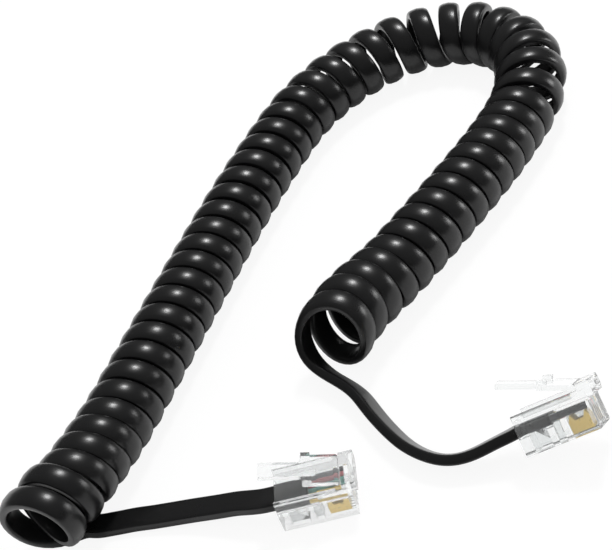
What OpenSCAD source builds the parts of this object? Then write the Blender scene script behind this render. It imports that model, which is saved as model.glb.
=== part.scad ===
// Coiled handset cord with a 4P4C modular plug on each end.
// Millimetres, +Z up. The cord lies on its resting plane, which is z = 0,
// and the origin is the middle of its bounding box on that plane.

/* [Cord] */
// Width of the flat cord
cord_w = 3.5; // [3.2:0.05:3.6]
// Thickness of the flat cord
cord_t = 1.8; // [1.5:0.1:1.9]
// Outside diameter of the coil, over the flats of its curls
coil_od = 12.3; // [11.6:0.1:13.5]
// Depth of the flat that the curls stand on
coil_flat = 0.35; // [0.1:0.05:0.45]
// How far the first curl is spread open, then how far the last one is
curl_spread = [0.85, 0.3]; // [0.2:0.05:1.2]
// Clear height between the first curl and the stretch of cord under it
under_gap = 1.2; // [0.8:0.05:1.4]

/* [Plug housing] */
// Length of the housing, from cable entry to nose
plug_l = 12; // [11.5:0.1:13]
// Width of the housing
plug_w = 7.65; // [7.4:0.05:7.9]
// Height of the housing without its latch
plug_h = 6.5; // [6.4:0.05:6.9]
// Radius of the housing's long edges
edge_r = 0.4; // [0.2:0.1:0.6]
// Height of the step in the sides, above the contact face
step_z = 4.3; // [3.5:0.1:5]
// Inset of the sides above the step
step_in = 0.3; // [0.1:0.05:0.4]
// Depth of the cable cavity
cavity_l = 6.7; // [6:0.1:7]
// Height of the cable cavity
cavity_h = 2.3; // [2.1:0.05:2.4]
// Height of the middle of the cable above the contact face
cable_z = 3.9; // [3.7:0.05:4]
// Clearance on each side of the cable in its cavity
cable_gap = 0.6; // [0.3:0.05:0.8]
// Depth of the trough that the latch is pressed into
trough_d = 0.9; // [0.6:0.05:1]
// Length of the trough, from the cable entry
trough_l = 9.8; // [9:0.1:10]
// Clearance on each side of the latch in its trough
trough_gap = 0.2; // [0.1:0.05:0.3]

/* [Contacts and cores] */
// Distance between neighbouring contacts
contact_pitch = 1.02; // [1:0.01:1.05]
// Thickness of a contact blade
blade_t = 0.3; // [0.25:0.01:0.34]
// Length of a contact blade
blade_l = 3.4; // [3:0.1:3.6]
// Distance from the nose to the contact blades
blade_from_nose = 1; // [0.8:0.1:1.4]
// Depth of the blades' outer edge below the contact face
blade_sunk = 0.5; // [0.3:0.05:0.8]
// Clearance on each side of a blade in its slot
slot_gap = 0.05; // [0.03:0.01:0.08]
// Height of the prongs that a blade pushes into its core's insulation
prong_h = 1; // [0.8:0.1:1.2]
// Diameter of one insulated core
core_d = 0.92; // [0.8:0.01:0.95]
// How far a core reaches past its blade
core_over = 0.2; // [0.1:0.05:0.4]
// Length of the cut jacket inside the plug
jacket_in_l = 5.2; // [4.6:0.1:5.8]
// Thickness of the jacket where the wedge holds it
jacket_in_t = 1.4; // [1.2:0.05:1.7]

/* [Strain relief] */
// Length of the wedge that holds the jacket, at the contact face
wedge_l = 2.6; // [2:0.1:3]
// Distance from the cable entry to the wedge's window
wedge_x = 1.5; // [1.2:0.1:1.8]
// Length of the bar that holds the cores
bar_l = 0.9; // [0.7:0.05:1.1]
// Distance from the cable entry to the bar's window
bar_x = 5.5; // [5.3:0.05:5.7]
// Width of the wedge and the bar
grip_w = 4; // [3.6:0.1:4.2]
// Depth of the wedge and the bar below the contact face, once they are pressed home
grip_sunk = 0.7; // [0.3:0.1:1]
// Clearance round the wedge and the bar, and between them and the cord
grip_gap = 0.15; // [0.1:0.01:0.2]

/* [Latch] */
// Width of the latch at its hinge
latch_root_w = 6.9; // [6:0.1:7]
// Width of the latch between its shoulders
latch_shoulder_w = 5.6; // [5:0.1:6]
// Width of the handle that the thumb presses
latch_handle_w = 2.8; // [2.4:0.1:3.4]
// Thickness of the latch arm
latch_t = 0.9; // [0.7:0.05:1]
// Length of the wide part of the latch, from its hinge
latch_wide_l = 5.3; // [5:0.1:6]
// Length in which the latch narrows to its handle
latch_taper_l = 0.3; // [0.2:0.1:0.6]
// Length of the handle, with the taper
latch_handle_l = 6.7; // [6:0.1:7.2]
// Length of the bar at the nose that the latch springs from
latch_root_l = 1.1; // [0.9:0.1:1.3]
// How far that bar stands out ahead of the contact end
nose_l = 1.1; // [0.8:0.1:1.2]
// Height of that bar's lower edge above the contact face
nose_z = 4.9; // [4.7:0.1:5]
// Radius of that bar's long edges
nose_r = 0.8; // [0.5:0.1:0.9]
// Length of the step that locks the plug in its socket
latch_tooth_l = 1.4; // [1:0.1:1.8]
// Width of the locking step, on each side
latch_tooth_w = 1.1; // [0.8:0.1:1.4]
// Height of the locking step above the arm
latch_tooth_h = 0.6; // [0.4:0.05:0.8]
// Angle between the first plug's latch and its housing
latch_lift_a = 18; // [10:0.5:22]
// Angle between the second plug's latch and its housing
latch_lift_b = 21.5; // [10:0.5:24]
// Clearance round the latch's hinge
hinge_gap = 0.1; // [0.05:0.01:0.2]

/* [Hidden] */
$fn = 32;
eps = 0.01;

// ---- places of the two plugs: middle of the cable entry's lower edge, and turn
plug_a_at = [-18, -45.6, 0];
plug_a_turn = [0, 0, -11];
plug_b_at = [20.9, -54.8, 2.3];
plug_b_turn = [-41, -17, -15];

// ---- the coil's axis: stretches of [length, turn in degrees, curls]
axis_start = [-56.4, -40.5];
axis_heading = 62.7;
stretches = [[7.7, -17.7, 1.06], [7.4, 7.6, 1.71], [13, 1.7, 3.23], [44.5, -1, 10.1],
    [30.7, -5.7, 6.46], [27.7, -40.2, 5.38], [15.3, -37.5, 2.61], [19.8, -63, 3.5],
    [16.8, -40.2, 2.96], [17, -8.1, 4.24], [33.3, -4.5, 7.8], [14, 20.3, 2.95]];
// Length along the axis over which the raised end comes down to the table
rise_l = 32;
// Curls over which the spread and the lean of the first and the last curl fade
fade_turns = [2.65, 4.8];
// Lean of the first and the last curls, as a slope
end_lean = [-0.1, 0.4];
// How far the cord comes in and goes out ahead of the coil's axis, and over which part of a curl
slide = [8.9, 0.6];
slide_turns = [0.72, 0.1];
// Part of a curl that stays low under the next one, and the part in which it rises to the others
low_turns = 0.36;
close_turns = 0.42;
// Share of that drop that is a lower place; the rest is a wider curl
drop_share = 0.75;
// How far the last curl stands up from the table
end_up = 1.45;
// How far the curls at the sharpest part of the bow open, which curl is the widest, and over how many
bow_spread = 0.5;
bow_curl = 35.2;
bow_turns = 3;
rings_per_curl = 8;

// ---- free leads: [x, y, z, bank in degrees]
route_a = [[-18, -45.6, 3.9, 0], [-20, -45.2, 3.9, 0], [-22, -44.4, 3.75, 0], [-24, -43.3, 3.4, 0],
    [-26.2, -42.2, 2.9, 0], [-28.5, -41.1, 2.4, 0], [-31, -39.9, 1.9, 0], [-33.6, -38.8, 1.5, 0],
    [-36.2, -37.8, 1.2, 0], [-38.8, -36.85, 1, 0], [-41.2, -36, 0.9, 0], [-43.4, -35.45, 0.9, 0],
    [-45.3, -34.95, 0.9, 0], [-47.2, -34.35, 0.9, 0]];
route_b = [[-0.15, -30.2, 2.35, 38], [0.5, -32.9, 2.25, 47], [1.1, -35.7, 2.15, 52],
    [1.8, -38.4, 2.05, 55], [2.65, -41.2, 1.95, 55], [3.65, -43.75, 1.85, 55], [4.95, -46.1, 1.9, 54],
    [6.6, -48.15, 1.95, 52], [8.5, -49.65, 2.05, 49], [10.7, -50.6, 2.3, 46], [13, -51.1, 2.75, 44],
    [15.3, -51.4, 3.4, 43], [17.4, -51.7, 4.05, 42], [19.2, -51.95, 4.6, 41]];

// ---- derived sizes of the coil
curl_r = coil_od / 2 - cord_t / 2;
flat_factor = 1 / cos(180 / rings_per_curl);
lift = cord_t + under_gap;
axis_z = coil_od / 2 - coil_flat;
stretch_n = len(stretches);
axis_steps = concat([[0, axis_start[0], axis_start[1], axis_heading, 0]],
    [for (i = 0, s = 0, x = axis_start[0], y = axis_start[1], h = axis_heading, c = 0; i < stretch_n;
        l = stretches[i][0], a = stretches[i][1],
        x = x + chord(l, a) * cos(h + a / 2), y = y + chord(l, a) * sin(h + a / 2),
        s = s + l, h = h + a, c = c + stretches[i][2], i = i + 1)
        let (l2 = stretches[i][0], a2 = stretches[i][1])
        [s + l2, x + chord(l2, a2) * cos(h + a2 / 2), y + chord(l2, a2) * sin(h + a2 / 2),
            h + a2, c + stretches[i][2]]]);
axis_l = axis_steps[stretch_n][0];
curls = round(axis_steps[stretch_n][4]);

// ---- derived sizes of the plugs
cavity_w = cord_w + 2 * cable_gap;
cavity_z = cable_z - cavity_h / 2;
trough_w = latch_shoulder_w + 2 * trough_gap;
trough_z = plug_h - trough_d;
core_slot_w = 3 * contact_pitch + core_d + 2 * slot_gap;
blade_x = plug_l - blade_from_nose - blade_l;
slot_l = plug_l - blade_from_nose + core_over;
core_l = slot_l - jacket_in_l;
core_low = cable_z - core_d / 2;
latch_pivot = [plug_l - latch_root_l - hinge_gap - latch_t / 2, 0, plug_h + hinge_gap + latch_t / 2];
contact_n = 4;
black = "#1c1c1c";
red = "#b3202a";
green = "#1f7f55";
yellow = "#e3b02c";

// ---- functions
function ease(u) = let (v = min(max(u, 0), 1)) v * v * (3 - 2 * v);
function fade(u) = pow(min(max(1 - u, 0), 1), 2);
function unit(v) = v / norm(v);
function across(v, d) = v - (v * d) * d;
function chord(l, a) = abs(a) < 0.001 ? l : 2 * (l / (a * PI / 180)) * sin(a / 2);

// Which stretch holds the curl number c
function stretch_of(c, i = 0) = i >= stretch_n - 1 || c < axis_steps[i + 1][4] ? i : stretch_of(c, i + 1);
// Point on the axis at curl number c: [distance along it, x, y, heading]
function axis_at(c) = let (i = stretch_of(c), from = axis_steps[i],
    part = (c - from[4]) / stretches[i][2], l = stretches[i][0] * part, a = stretches[i][1] * part)
    [from[0] + l, from[1] + chord(l, a) * cos(from[3] + a / 2),
        from[2] + chord(l, a) * sin(from[3] + a / 2), from[3] + a];

// Place of the cord's middle at curl number c, with its outward direction
function curl_point(c) = let (at = axis_at(c), s = at[0], h = at[3], left = curls - c, f = 360 * c,
    near_0 = 1 - ease(c / fade_turns[0]), near_1 = 1 - ease(left / fade_turns[1]),
    spread = curl_spread[0] * near_0 + curl_spread[1] * near_1
        + bow_spread * (1 - ease(abs(c - bow_curl) / bow_turns)),
    lean = end_lean[0] * near_0 + end_lean[1] * near_1,
    drop = lift * (1 - ease((c - low_turns) / close_turns)),
    r = flat_factor * (curl_r + spread + (1 - drop_share) * drop),
    z0 = axis_z + spread + end_up * near_1 + lift * (1 - ease(s / rise_l)) - drop_share * drop,
    side = r * sin(f), up = -r * cos(f),
    ahead = slide[0] * fade(c / slide_turns[0]) + slide[1] * fade(left / slide_turns[1]) - lean * up)
    [[at[1] + ahead * cos(h) - side * sin(h), at[2] + ahead * sin(h) + side * cos(h), z0 + up],
        [-sin(f) * sin(h), sin(f) * cos(h), -cos(f)]];
ring_curls = concat([0], [for (k = [0 : curls * rings_per_curl - 1]) (k + 0.5) / rings_per_curl], [curls]);
coil_points = [for (c = ring_curls) curl_point(c)];
point_n = len(coil_points);
// Both ends run straight and level for the cord's width, the first one on the table
lying_z = cord_t / 2;
end_0 = [coil_points[0][0][0], coil_points[0][0][1], lying_z];
end_1 = [coil_points[point_n - 1][0][0], coil_points[point_n - 1][0][1], lying_z + end_up];
way_0 = unit([coil_points[1][0][0] - end_0[0], coil_points[1][0][1] - end_0[1], 0]);
way_1 = unit([end_1[0] - coil_points[point_n - 2][0][0], end_1[1] - coil_points[point_n - 2][0][1], 0]);
coil_path = concat([end_0 - cord_w * way_0, end_0],
    [for (i = [1 : point_n - 2]) coil_points[i][0]], [end_1, end_1 + cord_w * way_1]);
coil_out = concat([[0, 0, -1], [0, 0, -1]],
    [for (i = [1 : point_n - 2]) coil_points[i][1]], [[0, 0, -1], [0, 0, -1]]);

// Section of the coiled cord: flat inside, crowned outside; [along the axis, outward]
coil_section = [[-0.5 * cord_w, -0.5 * cord_t], [0.5 * cord_w, -0.5 * cord_t], [0.5 * cord_w, 0.05 * cord_t],
    [0.3 * cord_w, 0.5 * cord_t], [-0.3 * cord_w, 0.5 * cord_t], [-0.5 * cord_w, 0.05 * cord_t]];
// Section of a free lead: a flat oval
lead_section = [for (p = [[-0.5, -0.2], [-0.3, -0.5], [0.3, -0.5], [0.5, -0.2],
    [0.5, 0.2], [0.3, 0.5], [-0.3, 0.5], [-0.5, 0.2]]) [p[0] * cord_w, p[1] * cord_t]];

// Direction of a path at its point i
function way(path, i) = unit(path[min(i + 1, len(path) - 1)] - path[max(i - 1, 0)]);
// One ring of a swept section, kept above the table
function ring(section, at, d, out) = let (o = unit(across(out, d)), w = cross(d, o))
    [for (p = section) let (q = at + p[0] * w + p[1] * o) [q[0], q[1], max(q[2], 0)]];

// Route of each lead from its plug or the coil to the other end, with the coil's end added
path_a = concat([for (p = route_a) [p[0], p[1], p[2]]], [coil_path[0]]);
bank_a = concat([for (p = route_a) p[3]], [0]);
path_b = concat([coil_path[len(coil_path) - 1]], [for (p = route_b) [p[0], p[1], p[2]]],
    [plug_point(plug_b_at, plug_b_turn, [0, 0, cable_z])]);
bank_b = concat([0], [for (p = route_b) p[3]], [-plug_b_turn[0]]);
// A point of a plug, turned and placed
function turn_x(p, a) = [p[0], p[1] * cos(a) - p[2] * sin(a), p[1] * sin(a) + p[2] * cos(a)];
function turn_y(p, a) = [p[0] * cos(a) + p[2] * sin(a), p[1], -p[0] * sin(a) + p[2] * cos(a)];
function turn_z(p, a) = [p[0] * cos(a) - p[1] * sin(a), p[0] * sin(a) + p[1] * cos(a), p[2]];
function plug_point(at, turn, p) = at + turn_z(turn_y(turn_x(p, turn[0]), turn[1]), turn[2]);
// Upward direction of a lead that is banked by an angle about its way
function banked(d, a) = let (left = unit(cross([0, 0, 1], d)), up = cross(d, left))
    up * cos(a) + left * sin(a);

// ---- least gap of the coil to itself, on points of its section, not nearer than half a curl
apart = rings_per_curl / 2;
coil_rings = [for (i = [0 : len(coil_path) - 1])
    ring(coil_section, coil_path[i], way(coil_path, i), coil_out[i])];
probe = [for (r = coil_rings) concat(r, [for (k = [0 : 5]) (r[k] + r[(k + 1) % 6]) / 2])];
least_gap = min([for (i = [0 : len(probe) - 1 - apart])
    min([for (j = [i + apart : min(i + rings_per_curl + apart, len(probe) - 1)])
        min([for (a = probe[i]) min([for (b = probe[j]) norm(a - b)])])])]);
echo(least_gap_of_coil_to_itself = least_gap);

// ---- modules for the cord
module sweep(rings) {
    n = len(rings[0]);
    m = len(rings);
    points = [for (r = rings) each r];
    walls = [for (i = [0 : m - 2], k = [0 : n - 1]) let (a = i * n + k, b = i * n + (k + 1) % n)
        each [[a, a + n, b], [b, a + n, b + n]]];
    caps = [for (k = [1 : n - 2]) each [[0, k, k + 1], [(m - 1) * n, (m - 1) * n + k + 1, (m - 1) * n + k]]];
    polyhedron(points, concat(walls, caps));
}

module coil() {
    color("#161615") sweep(coil_rings);
}

module lead(path, bank, way_in, way_out) {
    last = len(path) - 1;
    color("#1b1b1c") sweep([for (i = [0 : last])
        let (d = i == 0 ? way_in : i == last ? way_out : way(path, i))
        ring(lead_section, path[i], d, banked(d, bank[i]))]);
}

module lead_a() {
    lead(path_a, bank_a, -plug_point([0, 0, 0], plug_a_turn, [1, 0, 0]), way_0);
}

module lead_b() {
    lead(path_b, bank_b, way_1, plug_point([0, 0, 0], plug_b_turn, [1, 0, 0]));
}

// ---- modules for a plug, along +X from the cable entry to the nose, contact face down
module place(at, turn) {
    translate(at) rotate(turn) children();
}

// A bar along X with its four long edges rounded
module round_bar(l, w, z0, z1, r) {
    translate([0, -w / 2, z0 + r]) cube([l, w, z1 - z0 - 2 * r]);
    translate([0, -w / 2 + r, z0]) cube([l, w - 2 * r, z1 - z0]);
    for (y = [-w / 2 + r, w / 2 - r], z = [z0 + r, z1 - r])
        translate([0, y, z]) rotate([0, 90, 0]) cylinder(r = r, h = l);
}

module housing() {
    color("#dfe6e8", 0.4) {
        difference() {
            union() {
                round_bar(plug_l, plug_w, 0, step_z + edge_r, edge_r);
                round_bar(plug_l, plug_w - 2 * step_in, 0, plug_h, edge_r);
                // the bar at the nose that the latch springs from
                translate([plug_l - latch_root_l, 0, 0])
                    round_bar(latch_root_l + nose_l, latch_root_w, nose_z, plug_h + latch_t, nose_r);
            }
            translate([-eps, -cavity_w / 2, cavity_z]) cube([cavity_l + eps, cavity_w, cavity_h]);
            translate([cavity_l - eps, -core_slot_w / 2, core_low - slot_gap])
                cube([slot_l + slot_gap - cavity_l, core_slot_w, core_d + 2 * slot_gap]);
            translate([-eps, -trough_w / 2, trough_z]) cube([trough_l + eps, trough_w, trough_d + eps]);
            grip_window(wedge_x, wedge_l);
            grip_window(bar_x, bar_l);
            for (i = [0 : contact_n - 1]) contact_slot(i);
        }
        grip(wedge_x, wedge_l, cable_z - jacket_in_t / 2 - grip_gap, wedge_l * 0.4);
        grip(bar_x, bar_l, core_low - grip_gap, bar_l);
    }
}

function contact_y(i) = (1.5 - i) * contact_pitch;

// The slot of a contact: full depth at the blade, shallow from there to the nose
module contact_slot(i) {
    slot_w = blade_t + 2 * slot_gap;
    translate([blade_x - slot_gap, contact_y(i) - slot_w / 2, -eps])
        cube([blade_l + 2 * slot_gap, slot_w, core_low + 2 * eps]);
    translate([blade_x + blade_l, contact_y(i) - slot_w / 2, -eps])
        cube([blade_from_nose + eps, slot_w, 2 * blade_sunk]);
}

// The window that a strain relief is pressed through
module grip_window(x, l) {
    translate([x - grip_gap, -grip_w / 2 - grip_gap, -eps])
        cube([l + 2 * grip_gap, grip_w + 2 * grip_gap, cavity_z + 2 * eps]);
}

// A strain relief pressed home in its window: a level top, then a slope down to the nose,
// still joined to the housing by the web that it turned on
module grip(x, l, top, level_l) {
    translate([x, grip_w / 2, 0]) rotate([90, 0, 0]) linear_extrude(grip_w)
        polygon([[0, grip_sunk], [l, grip_sunk], [l, min(2 * grip_sunk, top)], [level_l, top], [0, top]]);
    translate([x + l - eps, -grip_w / 2, grip_sunk])
        cube([grip_gap + 2 * eps, grip_w, grip_sunk]);
}

// The latch's springy arm, running back from its hinge, with a locking step at each shoulder
module latch(lift) {
    wide_y = latch_shoulder_w / 2;
    slim_y = latch_handle_w / 2;
    taper_x = latch_wide_l + latch_taper_l;
    end_x = latch_wide_l + latch_handle_l;
    color("#dfe6e8", 0.4) translate(latch_pivot) rotate([0, lift, 0]) {
        rotate([90, 0, 0]) cylinder(d = latch_t, h = latch_shoulder_w, center = true);
        rotate([0, 0, 180]) translate([0, 0, -latch_t / 2]) linear_extrude(latch_t)
            polygon([[0, -wide_y], [latch_wide_l, -wide_y], [taper_x, -slim_y], [end_x, -slim_y],
                [end_x, slim_y], [taper_x, slim_y], [latch_wide_l, wide_y], [0, wide_y]]);
        for (y = [-wide_y, wide_y - latch_tooth_w])
            translate([-latch_wide_l, y, latch_t / 2 - eps])
                cube([latch_tooth_l, latch_tooth_w, latch_tooth_h + eps]);
    }
}

module jacket_end() {
    color("#1b1b1c") translate([0, 0, cable_z]) rotate([90, 0, 90]) linear_extrude(jacket_in_l)
        polygon([for (p = lead_section) [p[0], p[1] * jacket_in_t / cord_t]]);
}

// A blade with two prongs that reach up to its core
module contact(i) {
    top = core_low - slot_gap;
    color("#d8a93a") translate([blade_x, contact_y(i) + blade_t / 2, 0]) rotate([90, 0, 0])
        linear_extrude(blade_t) polygon([[0, blade_sunk], [blade_l, blade_sunk],
            [blade_l, top - prong_h], [blade_l - prong_h / 2, top], [blade_l - prong_h, top - prong_h],
            [prong_h, top - prong_h], [prong_h / 2, top], [0, top - prong_h]]);
}

module core(i, core_color) {
    color(core_color) translate([jacket_in_l, contact_y(i), cable_z])
        rotate([0, 90, 0]) cylinder(d = core_d, h = core_l);
}

coil();
lead_a();
lead_b();
place(plug_a_at, plug_a_turn) housing();  // housing_a
place(plug_a_at, plug_a_turn) latch(latch_lift_a);  // latch_a
place(plug_a_at, plug_a_turn) jacket_end();  // jacket_end_a
place(plug_a_at, plug_a_turn) contact(0);  // contact_a1
place(plug_a_at, plug_a_turn) contact(1);  // contact_a2
place(plug_a_at, plug_a_turn) contact(2);  // contact_a3
place(plug_a_at, plug_a_turn) contact(3);  // contact_a4
place(plug_a_at, plug_a_turn) core(0, black);  // core_a1_black
place(plug_a_at, plug_a_turn) core(1, red);  // core_a2_red
place(plug_a_at, plug_a_turn) core(2, green);  // core_a3_green
place(plug_a_at, plug_a_turn) core(3, yellow);  // core_a4_yellow
place(plug_b_at, plug_b_turn) housing();  // housing_b
place(plug_b_at, plug_b_turn) latch(latch_lift_b);  // latch_b
place(plug_b_at, plug_b_turn) jacket_end();  // jacket_end_b
place(plug_b_at, plug_b_turn) contact(0);  // contact_b1
place(plug_b_at, plug_b_turn) contact(1);  // contact_b2
place(plug_b_at, plug_b_turn) contact(2);  // contact_b3
place(plug_b_at, plug_b_turn) contact(3);  // contact_b4
place(plug_b_at, plug_b_turn) core(0, yellow);  // core_b1_yellow
place(plug_b_at, plug_b_turn) core(1, green);  // core_b2_green
place(plug_b_at, plug_b_turn) core(2, red);  // core_b3_red
place(plug_b_at, plug_b_turn) core(3, black);  // core_b4_black
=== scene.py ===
"""A coiled handset cord with a clear modular plug on each end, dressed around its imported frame."""
import math

import bpy
import numpy as np
from mathutils import Matrix


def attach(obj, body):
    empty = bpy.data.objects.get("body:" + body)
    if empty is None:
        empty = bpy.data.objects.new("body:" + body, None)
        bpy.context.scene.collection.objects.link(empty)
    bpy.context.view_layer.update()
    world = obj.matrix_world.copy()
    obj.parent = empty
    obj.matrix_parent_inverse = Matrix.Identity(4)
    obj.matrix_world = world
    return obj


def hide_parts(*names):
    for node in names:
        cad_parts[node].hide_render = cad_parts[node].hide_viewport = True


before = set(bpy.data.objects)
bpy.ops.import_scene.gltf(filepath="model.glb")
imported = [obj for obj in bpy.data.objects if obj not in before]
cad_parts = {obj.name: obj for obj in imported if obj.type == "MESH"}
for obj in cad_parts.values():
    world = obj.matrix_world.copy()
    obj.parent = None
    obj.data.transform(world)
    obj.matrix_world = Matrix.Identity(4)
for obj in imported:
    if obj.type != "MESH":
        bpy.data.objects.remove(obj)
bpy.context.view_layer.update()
MM = 0.001

# ---- Camera
# A long lens looks down from above the near side. It is rolled to the left, so that the
# bow of the coil leans across the frame.
FRAME_W = 612
FOCAL_IN_PIXELS = 1488
SENSOR_W = 36.0
NEAREST, FARTHEST = 0.01, 20
camera_place = (-0.001, -0.2005, 0.1775)
pitch = math.radians(40.75)
roll = math.radians(21.8)

# The camera's right, up and back, worked out from its pitch and its roll
view_right = (math.cos(roll), -math.sin(roll) * math.sin(pitch), -math.sin(roll) * math.cos(pitch))
view_up = (math.sin(roll), math.cos(roll) * math.sin(pitch), math.cos(roll) * math.cos(pitch))
view_back = (0.0, -math.cos(pitch), math.sin(pitch))
camera_turn = Matrix((view_right, view_up, view_back)).transposed().to_4x4()
camera_data = bpy.data.cameras.new("camera")
camera_data.sensor_fit = "HORIZONTAL"
camera_data.sensor_width = SENSOR_W
camera_data.lens = SENSOR_W * FOCAL_IN_PIXELS / FRAME_W
camera_data.clip_start = NEAREST
camera_data.clip_end = FARTHEST
camera = bpy.data.objects.new("camera", camera_data)
camera.matrix_world = Matrix.Translation(camera_place) @ camera_turn
bpy.context.collection.objects.link(camera)
bpy.context.scene.camera = camera
bpy.context.scene.view_settings.view_transform = "Standard"

# ---- The coiled cord
# One flat cord of black PVC, extruded over four cores and wound hot on a mandrel. It runs
# straight out of the first plug, goes round in fifty-two curls and ends straight in the second.
# Millimetres: the cord's width and thickness, and the coil's outside diameter
CORD_W = 4.0
CORD_T = 1.8
COIL_OD = 12.3
CURLS = 52
# The coil's axis starts at a place and a heading, and goes on in stretches: length, turn to
# the left in degrees, curls
AXIS_START = (-56.4, -40.5)
AXIS_HEADING = 62.7
STRETCHES = [(7.7, -17.7, 1.06), (7.4, 7.6, 1.71), (13, 1.7, 3.23), (44.5, -1, 10.1),
             (30.7, -5.7, 6.46), (27.7, -40.2, 5.38), (15.3, -37.5, 2.61), (19.8, -63, 3.5),
             (16.8, -40.2, 2.96), (17, -8.1, 4.24), (33.3, -4.5, 7.8), (14, 20.3, 2.95)]
# The first curls stand on the cord's own way in, and come down to the table along RISE_L
LIFT = 3.0
RISE_L = 32
# How far the first and the last curl are spread, and how far the last one stands up
SPREAD = (0.85, 0.3)
END_UP = 1.45
# How far the curls open at the bow's sharpest part, round which curl, and over how many
BOW_SPREAD = 0.5
BOW_CURL = 35.2
BOW_TURNS = 3
# Curls over which the ends' spread and lean fade, and that lean, as a slope
FADE_TURNS = (2.65, 4.8)
END_LEAN = (-0.1, 0.4)
# How far the cord comes in and goes out ahead of the axis, and over which part of a curl
SLIDE = (8.9, 0.6)
SLIDE_TURNS = (0.72, 0.1)
# Part of the first curl that stays low, the part in which it rises to the others, and the share
# of that drop that is a lower place; the rest of it is a wider curl
LOW_TURNS = 0.36
CLOSE_TURNS = 0.42
DROP_SHARE = 0.75
# Each plug's place, the middle of its cable entry's lower edge, and its turns about X, Y and Z
PLUG_PLACES = {"a": ((-18, -45.6, 0), (0, 0, -11)), "b": ((20.9, -54.8, 2.3), (-41, -17, -15))}
# Height of the cord in its plug, and how far its jacket goes in
CABLE_Z = 3.9
JACKET_IN_L = 5.2
# Routes of the free leads: x, y and z in millimetres, and the cord's bank in degrees
ROUTE_A = [(-18, -45.6, 3.9, 0), (-20, -45.2, 3.9, 0), (-22, -44.4, 3.75, 0), (-24, -43.3, 3.4, 0),
           (-26.2, -42.2, 2.9, 0), (-28.5, -41.1, 2.4, 0), (-31, -39.9, 1.9, 0),
           (-33.6, -38.8, 1.5, 0), (-36.2, -37.8, 1.2, 0), (-38.8, -36.85, 1, 0), (-41.2, -36, 0.9, 0),
           (-43.4, -35.45, 0.9, 0), (-45.3, -34.95, 0.9, 0), (-47.2, -34.35, 0.9, 0)]
ROUTE_B = [(-0.15, -30.2, 2.35, 52), (0.5, -32.9, 2.25, 52.5), (1.1, -35.7, 2.15, 53),
           (1.8, -38.4, 2.05, 53.5), (2.65, -41.2, 1.95, 54), (3.65, -43.75, 1.85, 54),
           (4.95, -46.1, 1.9, 53.5), (6.6, -48.15, 1.95, 52), (8.5, -49.65, 2.05, 49),
           (10.7, -50.6, 2.3, 46), (13, -51.1, 2.75, 44), (15.3, -51.4, 3.4, 43),
           (17.4, -51.7, 4.05, 42), (19.2, -51.95, 4.6, 41)]
# Part of the last curl in which the cord turns on to its edge, and its straight way out of it
EDGE_TURNS = 0.28
RUN_OUT = 2.0
# Part of a curl in which the lead's section becomes the coil's
BLEND_TURNS = 0.25
# Rings over which the cord's height is evened, rings of a curl, and steps between route points
EVEN_RINGS = 9
RINGS_PER_CURL = 36
ROUTE_STEPS = 5
# The cord's section: its points, how square its corners are, and how much of it is crown
SECTION_POINTS = 32
CORNER_POWER = 6
CROWN_SHARE = 0.26


def ease(u):
    """3u^2 - 2u^3 between 0 and 1: a level start and a level end."""
    u = np.clip(u, 0, 1)
    return u * u * (3 - 2 * u)


def plug_turn(plug):
    """The plug's turn as a matrix: about X, then Y, then Z, as the solids are turned."""
    ax, ay, az = (math.radians(angle) for angle in PLUG_PLACES[plug][1])
    turns = [Matrix.Rotation(angle, 3, axis) for angle, axis in ((az, "Z"), (ay, "Y"), (ax, "X"))]
    return np.array(turns[0] @ turns[1] @ turns[2])


def plug_point(plug, points):
    """Points of a plug, in its own millimetres, turned and placed."""
    return np.array(PLUG_PLACES[plug][0]) + np.asarray(points, float) @ plug_turn(plug).T


def arc_end(place, length, turn):
    """Place and heading after an arc: its chord is length * sin(turn / 2) / (turn / 2), and it
    leaves at half the turn."""
    x, y, heading = place
    half = np.radians(turn) / 2
    chord = length * np.sinc(half / np.pi)
    return x + chord * np.cos(heading + half), y + chord * np.sin(heading + half), heading + 2 * half


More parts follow.
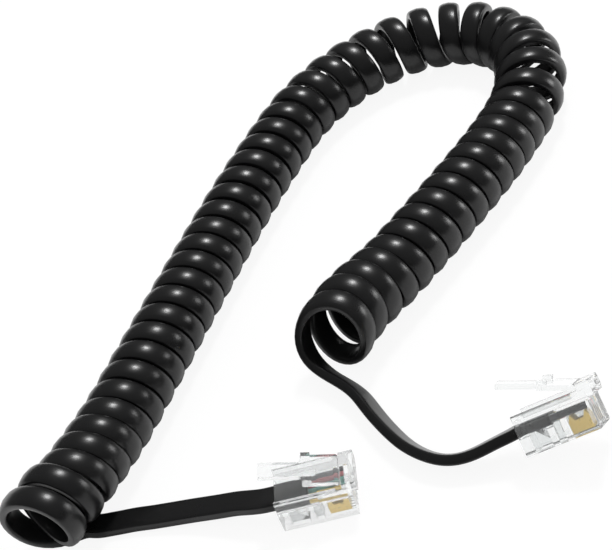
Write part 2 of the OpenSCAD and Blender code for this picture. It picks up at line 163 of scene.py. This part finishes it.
def coil_line(curl):
    """Middle line of the curls and the outward direction, at an array of curl numbers. A point
    goes round the axis once a curl, starting at its foot: the axis point, plus the radius times
    the sine to the side and minus the cosine up, plus a slide ahead at the two ends."""
    starts = [(AXIS_START[0], AXIS_START[1], math.radians(AXIS_HEADING))]
    for length, turn, _ in STRETCHES:
        starts.append(arc_end(starts[-1], length, turn))
    lengths, turns, counts = np.array(STRETCHES).T
    at_curl = np.concatenate([[0], np.cumsum(counts)])
    at_length = np.concatenate([[0], np.cumsum(lengths)])
    i = np.clip(np.searchsorted(at_curl, curl, side="right") - 1, 0, len(STRETCHES) - 1)
    part = (curl - at_curl[i]) / counts[i]
    x, y, heading = arc_end(np.array(starts)[i].T, lengths[i] * part, turns[i] * part)
    along = at_length[i] + lengths[i] * part
    left = CURLS - curl
    near_0, near_1 = 1 - ease(curl / FADE_TURNS[0]), 1 - ease(left / FADE_TURNS[1])
    spread = (SPREAD[0] * near_0 + SPREAD[1] * near_1
              + BOW_SPREAD * (1 - ease(np.abs(curl - BOW_CURL) / BOW_TURNS)))
    lean = END_LEAN[0] * near_0 + END_LEAN[1] * near_1
    drop = LIFT * (1 - ease((curl - LOW_TURNS) / CLOSE_TURNS))
    radius = (COIL_OD - CORD_T) / 2 + spread + (1 - DROP_SHARE) * drop
    axis_z = (COIL_OD / 2 + spread + END_UP * near_1 + LIFT * (1 - ease(along / RISE_L))
              - DROP_SHARE * drop)
    angle = 2 * np.pi * curl
    side, up = radius * np.sin(angle), -radius * np.cos(angle)
    ahead = (SLIDE[0] * np.clip(1 - curl / SLIDE_TURNS[0], 0, 1) ** 2
             + SLIDE[1] * np.clip(1 - left / SLIDE_TURNS[1], 0, 1) ** 2 - lean * up)
    sin_h, cos_h = np.sin(heading), np.cos(heading)
    line = np.stack([x + ahead * cos_h - side * sin_h, y + ahead * sin_h + side * cos_h, axis_z + up], 1)
    out = np.stack([-np.sin(angle) * sin_h, np.sin(angle) * cos_h, -np.cos(angle)], 1)
    return line, out


def smooth_line(points, steps):
    """A natural cubic spline through the points, with the distance between them as its
    parameter: the second derivatives solve one tridiagonal system."""
    points = np.asarray(points, float)
    gaps = np.linalg.norm(np.diff(points[:, :3], axis=0), axis=1)
    n = len(points)
    system = np.eye(n)
    target = np.zeros_like(points)
    inner = np.arange(1, n - 1)
    system[inner, inner - 1] = gaps[:-1]
    system[inner, inner] = 2 * (gaps[:-1] + gaps[1:])
    system[inner, inner + 1] = gaps[1:]
    slopes = np.diff(points, axis=0) / gaps[:, None]
    target[inner] = 6 * np.diff(slopes, axis=0)
    bend = np.linalg.solve(system, target)
    u = np.tile(np.arange(steps) / steps, n - 1)[:, None]
    i = np.repeat(np.arange(n - 1), steps)
    gap = gaps[i][:, None]
    curve = ((1 - u) * points[i] + u * points[i + 1]
             + gap ** 2 / 6 * (((1 - u) ** 3 - (1 - u)) * bend[i] + (u ** 3 - u) * bend[i + 1]))
    return np.concatenate([curve, points[-1:]])


def unit(vectors):
    """Each vector over its length."""
    return vectors / np.linalg.norm(vectors, axis=-1, keepdims=True)


def cord_line():
    """Middle line of the whole cord, from inside the first plug to inside the second, with its
    outward direction and a share that says how far a ring belongs to the coil."""
    curl = np.linspace(0, CURLS, CURLS * RINGS_PER_CURL + 1)
    coil, coil_out = coil_line(curl)
    inside = np.array([JACKET_IN_L, JACKET_IN_L / 2, 0.0])
    jacket = np.stack([inside, 0 * inside, 0 * inside + CABLE_Z], 1)
    plug_ends = {plug: plug_point(plug, jacket) for plug in "ab"}

    def banked(points, bank):
        """The points with the same bank at each."""
        return np.column_stack([points, np.full(len(points), bank)])

    run_in = coil[0] - CORD_W * unit(coil[1] - coil[0]) * (1, 1, 0)
    run_out = coil[-1] + RUN_OUT * unit(coil[-1] - coil[-2]) * (1, 1, 0)
    bank_b = -PLUG_PLACES["b"][1][0]
    # Each lead's curve also goes through three points of the coil, and is then cut off there
    edge_bank = ROUTE_B[0][3]
    nodes_a = np.concatenate([banked(plug_ends["a"], 0), ROUTE_A[1:], banked([run_in], 0),
                              banked(coil[:5:2], 0)])
    nodes_b = np.concatenate([banked(coil[-5::2], edge_bank), banked([run_out], edge_bank), ROUTE_B,
                              banked(plug_ends["b"][::-1], bank_b)])
    cut = 2 * ROUTE_STEPS + 1
    whole_a, whole_b = smooth_line(nodes_a, ROUTE_STEPS), smooth_line(nodes_b, ROUTE_STEPS)
    lead_a, lead_b = whole_a[:-cut], whole_b[cut:]

    def lead_out(whole):
        """Downward side of a lead's section, turned about its way by its bank."""
        way = unit(np.gradient(whole[:, :3], axis=0))
        left = unit(np.cross([0, 0, 1], way))
        up = np.cross(way, left)
        bank = np.radians(whole[:, 3:])
        return -(up * np.cos(bank) + left * np.sin(bank))

    line = np.concatenate([lead_a[:, :3], coil, lead_b[:, :3]])
    coil_share = np.minimum(ease(curl / BLEND_TURNS), ease((CURLS - curl) / BLEND_TURNS))
    in_coil = np.concatenate([np.zeros(len(lead_a)), coil_share, np.zeros(len(lead_b))])
    out_a, out_b = lead_out(whole_a)[:-cut], lead_out(whole_b)[cut:]
    turned = ease((curl - CURLS + EDGE_TURNS) / EDGE_TURNS)[:, None]
    out = np.concatenate([out_a, unit((1 - turned) * coil_out + turned * out_b[0]), out_b])
    return line, out, in_coil


def on_table(line, out):
    """The line, raised where the cord would dip under the table: half its width times the slope
    of its width, plus half its thickness times the slope of its thickness. The raise is evened
    out over a few rings."""
    way = unit(np.gradient(line, axis=0))
    across = np.cross(way, unit(out - np.sum(out * way, 1, keepdims=True) * way))
    tilt = np.abs(across[:, 2])
    reach = CORD_W / 2 * tilt + CORD_T / 2 * np.sqrt(1 - tilt ** 2) * np.sqrt(1 - way[:, 2] ** 2)
    lift = np.clip(reach - line[:, 2], 0, None)
    even = np.ones(EVEN_RINGS) / EVEN_RINGS
    lift = np.convolve(np.pad(lift, EVEN_RINGS // 2, "edge"), even, "valid")
    return line + lift[:, None] * (0, 0, 1)


def crowned_bar(angle, half_w, half_t, crown):
    """Section points at an angle: a superellipse of power CORNER_POWER, so a bar with small
    round corners, whose outer face is raised by the crown times one minus the square of the
    distance from its middle."""
    cos, sin = np.cos(angle), np.sin(angle)
    across = np.sign(cos) * np.abs(cos) ** (2 / CORNER_POWER)
    up = half_t * np.sign(sin) * np.abs(sin) ** (2 / CORNER_POWER)
    return np.stack([half_w * across, up + crown * np.clip(up / half_t, 0, 1) * (1 - across ** 2)], 1)


def sweep(name, line, out, section, uv_along):
    """A closed tube: every ring is the line's point plus the section's first number across the
    cord and its second outward. The map's U goes round the section and V along the line."""
    way = unit(np.gradient(line, axis=0))
    outward = unit(out - np.sum(out * way, 1, keepdims=True) * way)
    across = np.cross(way, outward)
    rings = line[:, None] + section[:, :, :1] * across[:, None] + section[:, :, 1:] * outward[:, None]
    m, n = rings.shape[:2]
    i, k = np.meshgrid(np.arange(m - 1), np.arange(n), indexing="ij")
    after = (k + 1) % n
    quads = np.stack([i * n + k, (i + 1) * n + k, (i + 1) * n + after, i * n + after], -1).reshape(-1, 4)
    caps = [list(range(n)), list(range(m * n - 1, (m - 1) * n - 1, -1))]
    mesh = bpy.data.meshes.new(name)
    mesh.from_pydata((rings.reshape(-1, 3) * MM).tolist(), [], quads.tolist() + caps)
    corner_u = np.stack([k, k, k + 1, k + 1], -1) / n
    corner_v = uv_along[np.stack([i, i + 1, i + 1, i], -1)]
    uv = np.concatenate([np.stack([corner_u, corner_v], -1).reshape(-1, 2), np.zeros((2 * n, 2))])
    mesh.uv_layers.new(name="along").data.foreach_set("uv", uv.ravel().astype(np.float32))
    mesh.polygons.foreach_set("use_smooth", [True] * len(quads) + [False] * 2)
    mesh.update()
    piece = bpy.data.objects.new(name, mesh)
    bpy.context.collection.objects.link(piece)
    return piece


line, out, in_coil = cord_line()
line = on_table(line, out)
along = np.concatenate([[0], np.cumsum(np.linalg.norm(np.diff(line, axis=0), axis=1))])
angle = 2 * np.pi * np.arange(SECTION_POINTS) / SECTION_POINTS
coil_shape = crowned_bar(angle, CORD_W / 2, CORD_T * (1 - CROWN_SHARE) / 2, CROWN_SHARE * CORD_T)
lead_shape = crowned_bar(angle, CORD_W / 2, CORD_T / 2, 0)
share = in_coil[:, None, None]
cord = sweep("cord", line, out, share * coil_shape + (1 - share) * lead_shape, along * MM)


def new_material(name):
    """A material with its nodes, its Principled shader and a function that adds a linked node."""
    material = bpy.data.materials.new(name)
    material.use_nodes = True
    nodes, links = material.node_tree.nodes, material.node_tree.links

    def add(kind, inputs=None, **settings):
        node = nodes.new(kind)
        for key, value in settings.items():
            setattr(node, key, value)
        for key, value in (inputs or {}).items():
            if isinstance(value, bpy.types.NodeSocket):
                links.new(value, node.inputs[key])
            else:
                node.inputs[key].default_value = value
        return node
    return material, nodes["Principled BSDF"], add


def set_shader(shader, links, **values):
    """Sets the shader's sockets by name, or links them where the value is another socket."""
    for key, value in values.items():
        socket = shader.inputs[key.replace("_", " ")]
        if isinstance(value, bpy.types.NodeSocket):
            links.new(value, socket)
        else:
            socket.default_value = value


# Glossy black, with faint lines along the cord from the die that it was drawn through
pvc, shader, add = new_material("black_pvc")
links = pvc.node_tree.links
along_map = add("ShaderNodeUVMap", uv_map="along")
draw_lines = add("ShaderNodeMapping", {"Vector": along_map.outputs[0], "Scale": (60, 90, 1)})
lines_noise = add("ShaderNodeTexNoise", {"Vector": draw_lines.outputs[0], "Scale": 1.0, "Detail": 3.0})
place = add("ShaderNodeTexCoord")
gloss_noise = add("ShaderNodeTexNoise", {"Vector": place.outputs["Object"], "Scale": 260.0, "Detail": 3.0})
gloss = add("ShaderNodeMapRange", {"Value": gloss_noise.outputs[0], "To Min": 0.24, "To Max": 0.34})
bump = add("ShaderNodeBump", {"Height": lines_noise.outputs[0], "Strength": 0.12, "Distance": 0.0001})
set_shader(shader, links, Base_Color=(0.004, 0.004, 0.0042, 1), Specular_IOR_Level=0.36,
           Roughness=gloss.outputs[0], Normal=bump.outputs[0])
cord.data.materials.append(pvc)
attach(cord, "cord")
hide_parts("coil", "lead_a", "lead_b", "jacket_end_a", "jacket_end_b")

# ---- Plug housings and latches
# A housing and its latch are one moulding of clear polycarbonate, which is faintly hazed.
# The wedge and the bar in its belly are pressed in to hold the jacket and the cores.
clear, shader, add = new_material("clear_polycarbonate")
links = clear.node_tree.links
place = add("ShaderNodeTexCoord")
haze_noise = add("ShaderNodeTexNoise", {"Vector": place.outputs["Object"], "Scale": 500.0, "Detail": 2.0})
haze = add("ShaderNodeMapRange", {"Value": haze_noise.outputs[0], "To Min": 0.0, "To Max": 0.06})
set_shader(shader, links, Base_Color=(0.97, 0.98, 0.98, 1), Roughness=haze.outputs[0],
           Transmission_Weight=0.96, IOR=1.45)
for name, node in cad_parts.items():
    if name.startswith(("housing", "latch")):
        node.data.materials.clear()
        node.data.materials.append(clear)

# ---- Contacts
# Four blades of phosphor bronze to a plug, stamped and plated with gold. Each is pushed
# through its slot, until its two prongs go into a core.
gold, shader, add = new_material("gold_plating")
links = gold.node_tree.links
place = add("ShaderNodeTexCoord")
wear_noise = add("ShaderNodeTexNoise", {"Vector": place.outputs["Object"], "Scale": 1500.0, "Detail": 3.0})
wear = add("ShaderNodeMapRange", {"Value": wear_noise.outputs[0], "To Min": 0.2, "To Max": 0.4})
set_shader(shader, links, Base_Color=(1.0, 0.74, 0.26, 1), Metallic=0.3, Roughness=wear.outputs[0])
for name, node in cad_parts.items():
    if name.startswith("contact"):
        node.data.materials.clear()
        node.data.materials.append(gold)

# ---- Cores
# Four stranded conductors side by side, each in its own colour of extruded insulation.
# They lie bare of the jacket between the bar and the contacts.
CORE_COLORS = {"black": (0.05, 0.05, 0.055), "red": (0.56, 0.12, 0.14),
               "green": (0.16, 0.38, 0.34), "yellow": (0.85, 0.62, 0.2)}
for color_name, color in CORE_COLORS.items():
    insulation, shader, add = new_material("insulation_" + color_name)
    links = insulation.node_tree.links
    place = add("ShaderNodeTexCoord")
    tone_noise = add("ShaderNodeTexNoise", {"Vector": place.outputs["Object"], "Scale": 900.0,
                                            "Detail": 2.0})
    tone = add("ShaderNodeMapRange", {"Value": tone_noise.outputs[0], "To Min": 0.35, "To Max": 0.5})
    set_shader(shader, links, Base_Color=(*color, 1), Roughness=tone.outputs[0])
    for name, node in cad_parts.items():
        if name.startswith("core") and name.endswith(color_name):
            node.data.materials.clear()
            node.data.materials.append(insulation)

# ---- Floor and light
# A plain white table top. It glows a little for the camera and through the clear plastic, so
# that it looks white there, and it keeps the cord's soft shadow.
FLOOR_SIZE = 6
bpy.ops.mesh.primitive_plane_add(size=FLOOR_SIZE)
floor = bpy.context.object
floor.name = "floor"
FLOOR_GLOW = 0.9
floor_paint, shader, add = new_material("floor_white")
links = floor_paint.node_tree.links
set_shader(shader, links, Base_Color=(0.8, 0.8, 0.8, 1), Roughness=0.9)
glow = add("ShaderNodeEmission", {"Color": (1, 1, 1, 1), "Strength": 1.0})
seen = add("ShaderNodeLightPath")
clear_view = add("ShaderNodeMath", {0: seen.outputs["Is Camera Ray"],
                                    1: seen.outputs["Is Transmission Ray"]}, operation="MAXIMUM")
part = add("ShaderNodeMath", {0: clear_view.outputs[0], 1: FLOOR_GLOW}, operation="MULTIPLY")
mix = add("ShaderNodeMixShader", {0: part.outputs[0], 1: shader.outputs[0], 2: glow.outputs[0]})
links.new(mix.outputs[0], floor_paint.node_tree.nodes["Material Output"].inputs[0])
floor.data.materials.append(floor_paint)

world = bpy.data.worlds.new("studio")
world.use_nodes = True
bpy.context.scene.world = world
links = world.node_tree.links


def world_node(kind, inputs=None, **settings):
    """A node of the world, with its inputs linked to sockets or set to numbers."""
    node = world.node_tree.nodes.new(kind)
    for key, value in settings.items():
        setattr(node, key, value)
    for key, value in (inputs or {}).items():
        if isinstance(value, bpy.types.NodeSocket):
            links.new(value, node.inputs[key])
        else:
            node.inputs[key].default_value = value
    return node


# The room is darker low down than overhead, and dim in gloss, which keeps the black cord
# black. The camera sees it white, and the clear plastic shows it nearly so.
ROOM_LOW, ROOM_HIGH_FROM = 0.25, 0.55
ROOM_IN_GLOSS = 0.26
ROOM_THROUGH_CLEAR = 0.7
rays = world_node("ShaderNodeLightPath")
direction = world_node("ShaderNodeTexCoord")
height = world_node("ShaderNodeSeparateXYZ", {0: direction.outputs["Generated"]})
room = world_node("ShaderNodeMapRange", {"Value": height.outputs["Z"], "From Min": 0.0,
                                         "From Max": ROOM_HIGH_FROM, "To Min": ROOM_LOW, "To Max": 1.0})
gloss_part = world_node("ShaderNodeMapRange", {"Value": rays.outputs["Is Glossy Ray"],
                                               "To Min": 1.0, "To Max": ROOM_IN_GLOSS})
seen_room = world_node("ShaderNodeMath", {0: room.outputs[0], 1: gloss_part.outputs[0]},
                       operation="MULTIPLY")
through_part = world_node("ShaderNodeMath", {0: rays.outputs["Is Transmission Ray"],
                                             1: ROOM_THROUGH_CLEAR}, operation="MULTIPLY")
white_rays = world_node("ShaderNodeMath", {0: rays.outputs["Is Camera Ray"], 1: through_part.outputs[0]},
                        operation="MAXIMUM")
level = world_node("ShaderNodeMath", {0: seen_room.outputs[0], 1: white_rays.outputs[0]},
                   operation="MAXIMUM")
links.new(level.outputs[0], world.node_tree.nodes["Background"].inputs["Strength"])
world.node_tree.nodes["Background"].inputs["Color"].default_value = (1, 1, 1, 1)


def area_light(name, place, size, power):
    """A square lamp at a place, turned to the middle of the object."""
    lamp = bpy.data.lights.new(name, "AREA")
    lamp.size = size
    lamp.energy = power
    lamp_object = bpy.data.objects.new(name, lamp)
    lamp_object.location = place
    lamp_object.rotation_euler = (-lamp_object.location).to_track_quat("-Z", "Y").to_euler()
    bpy.context.collection.objects.link(lamp_object)


area_light("key", place=(0.27, 0.29, 0.68), size=0.12, power=4.0)
area_light("fill", place=(0.85, 0.02, 0.14), size=0.22, power=1.6)
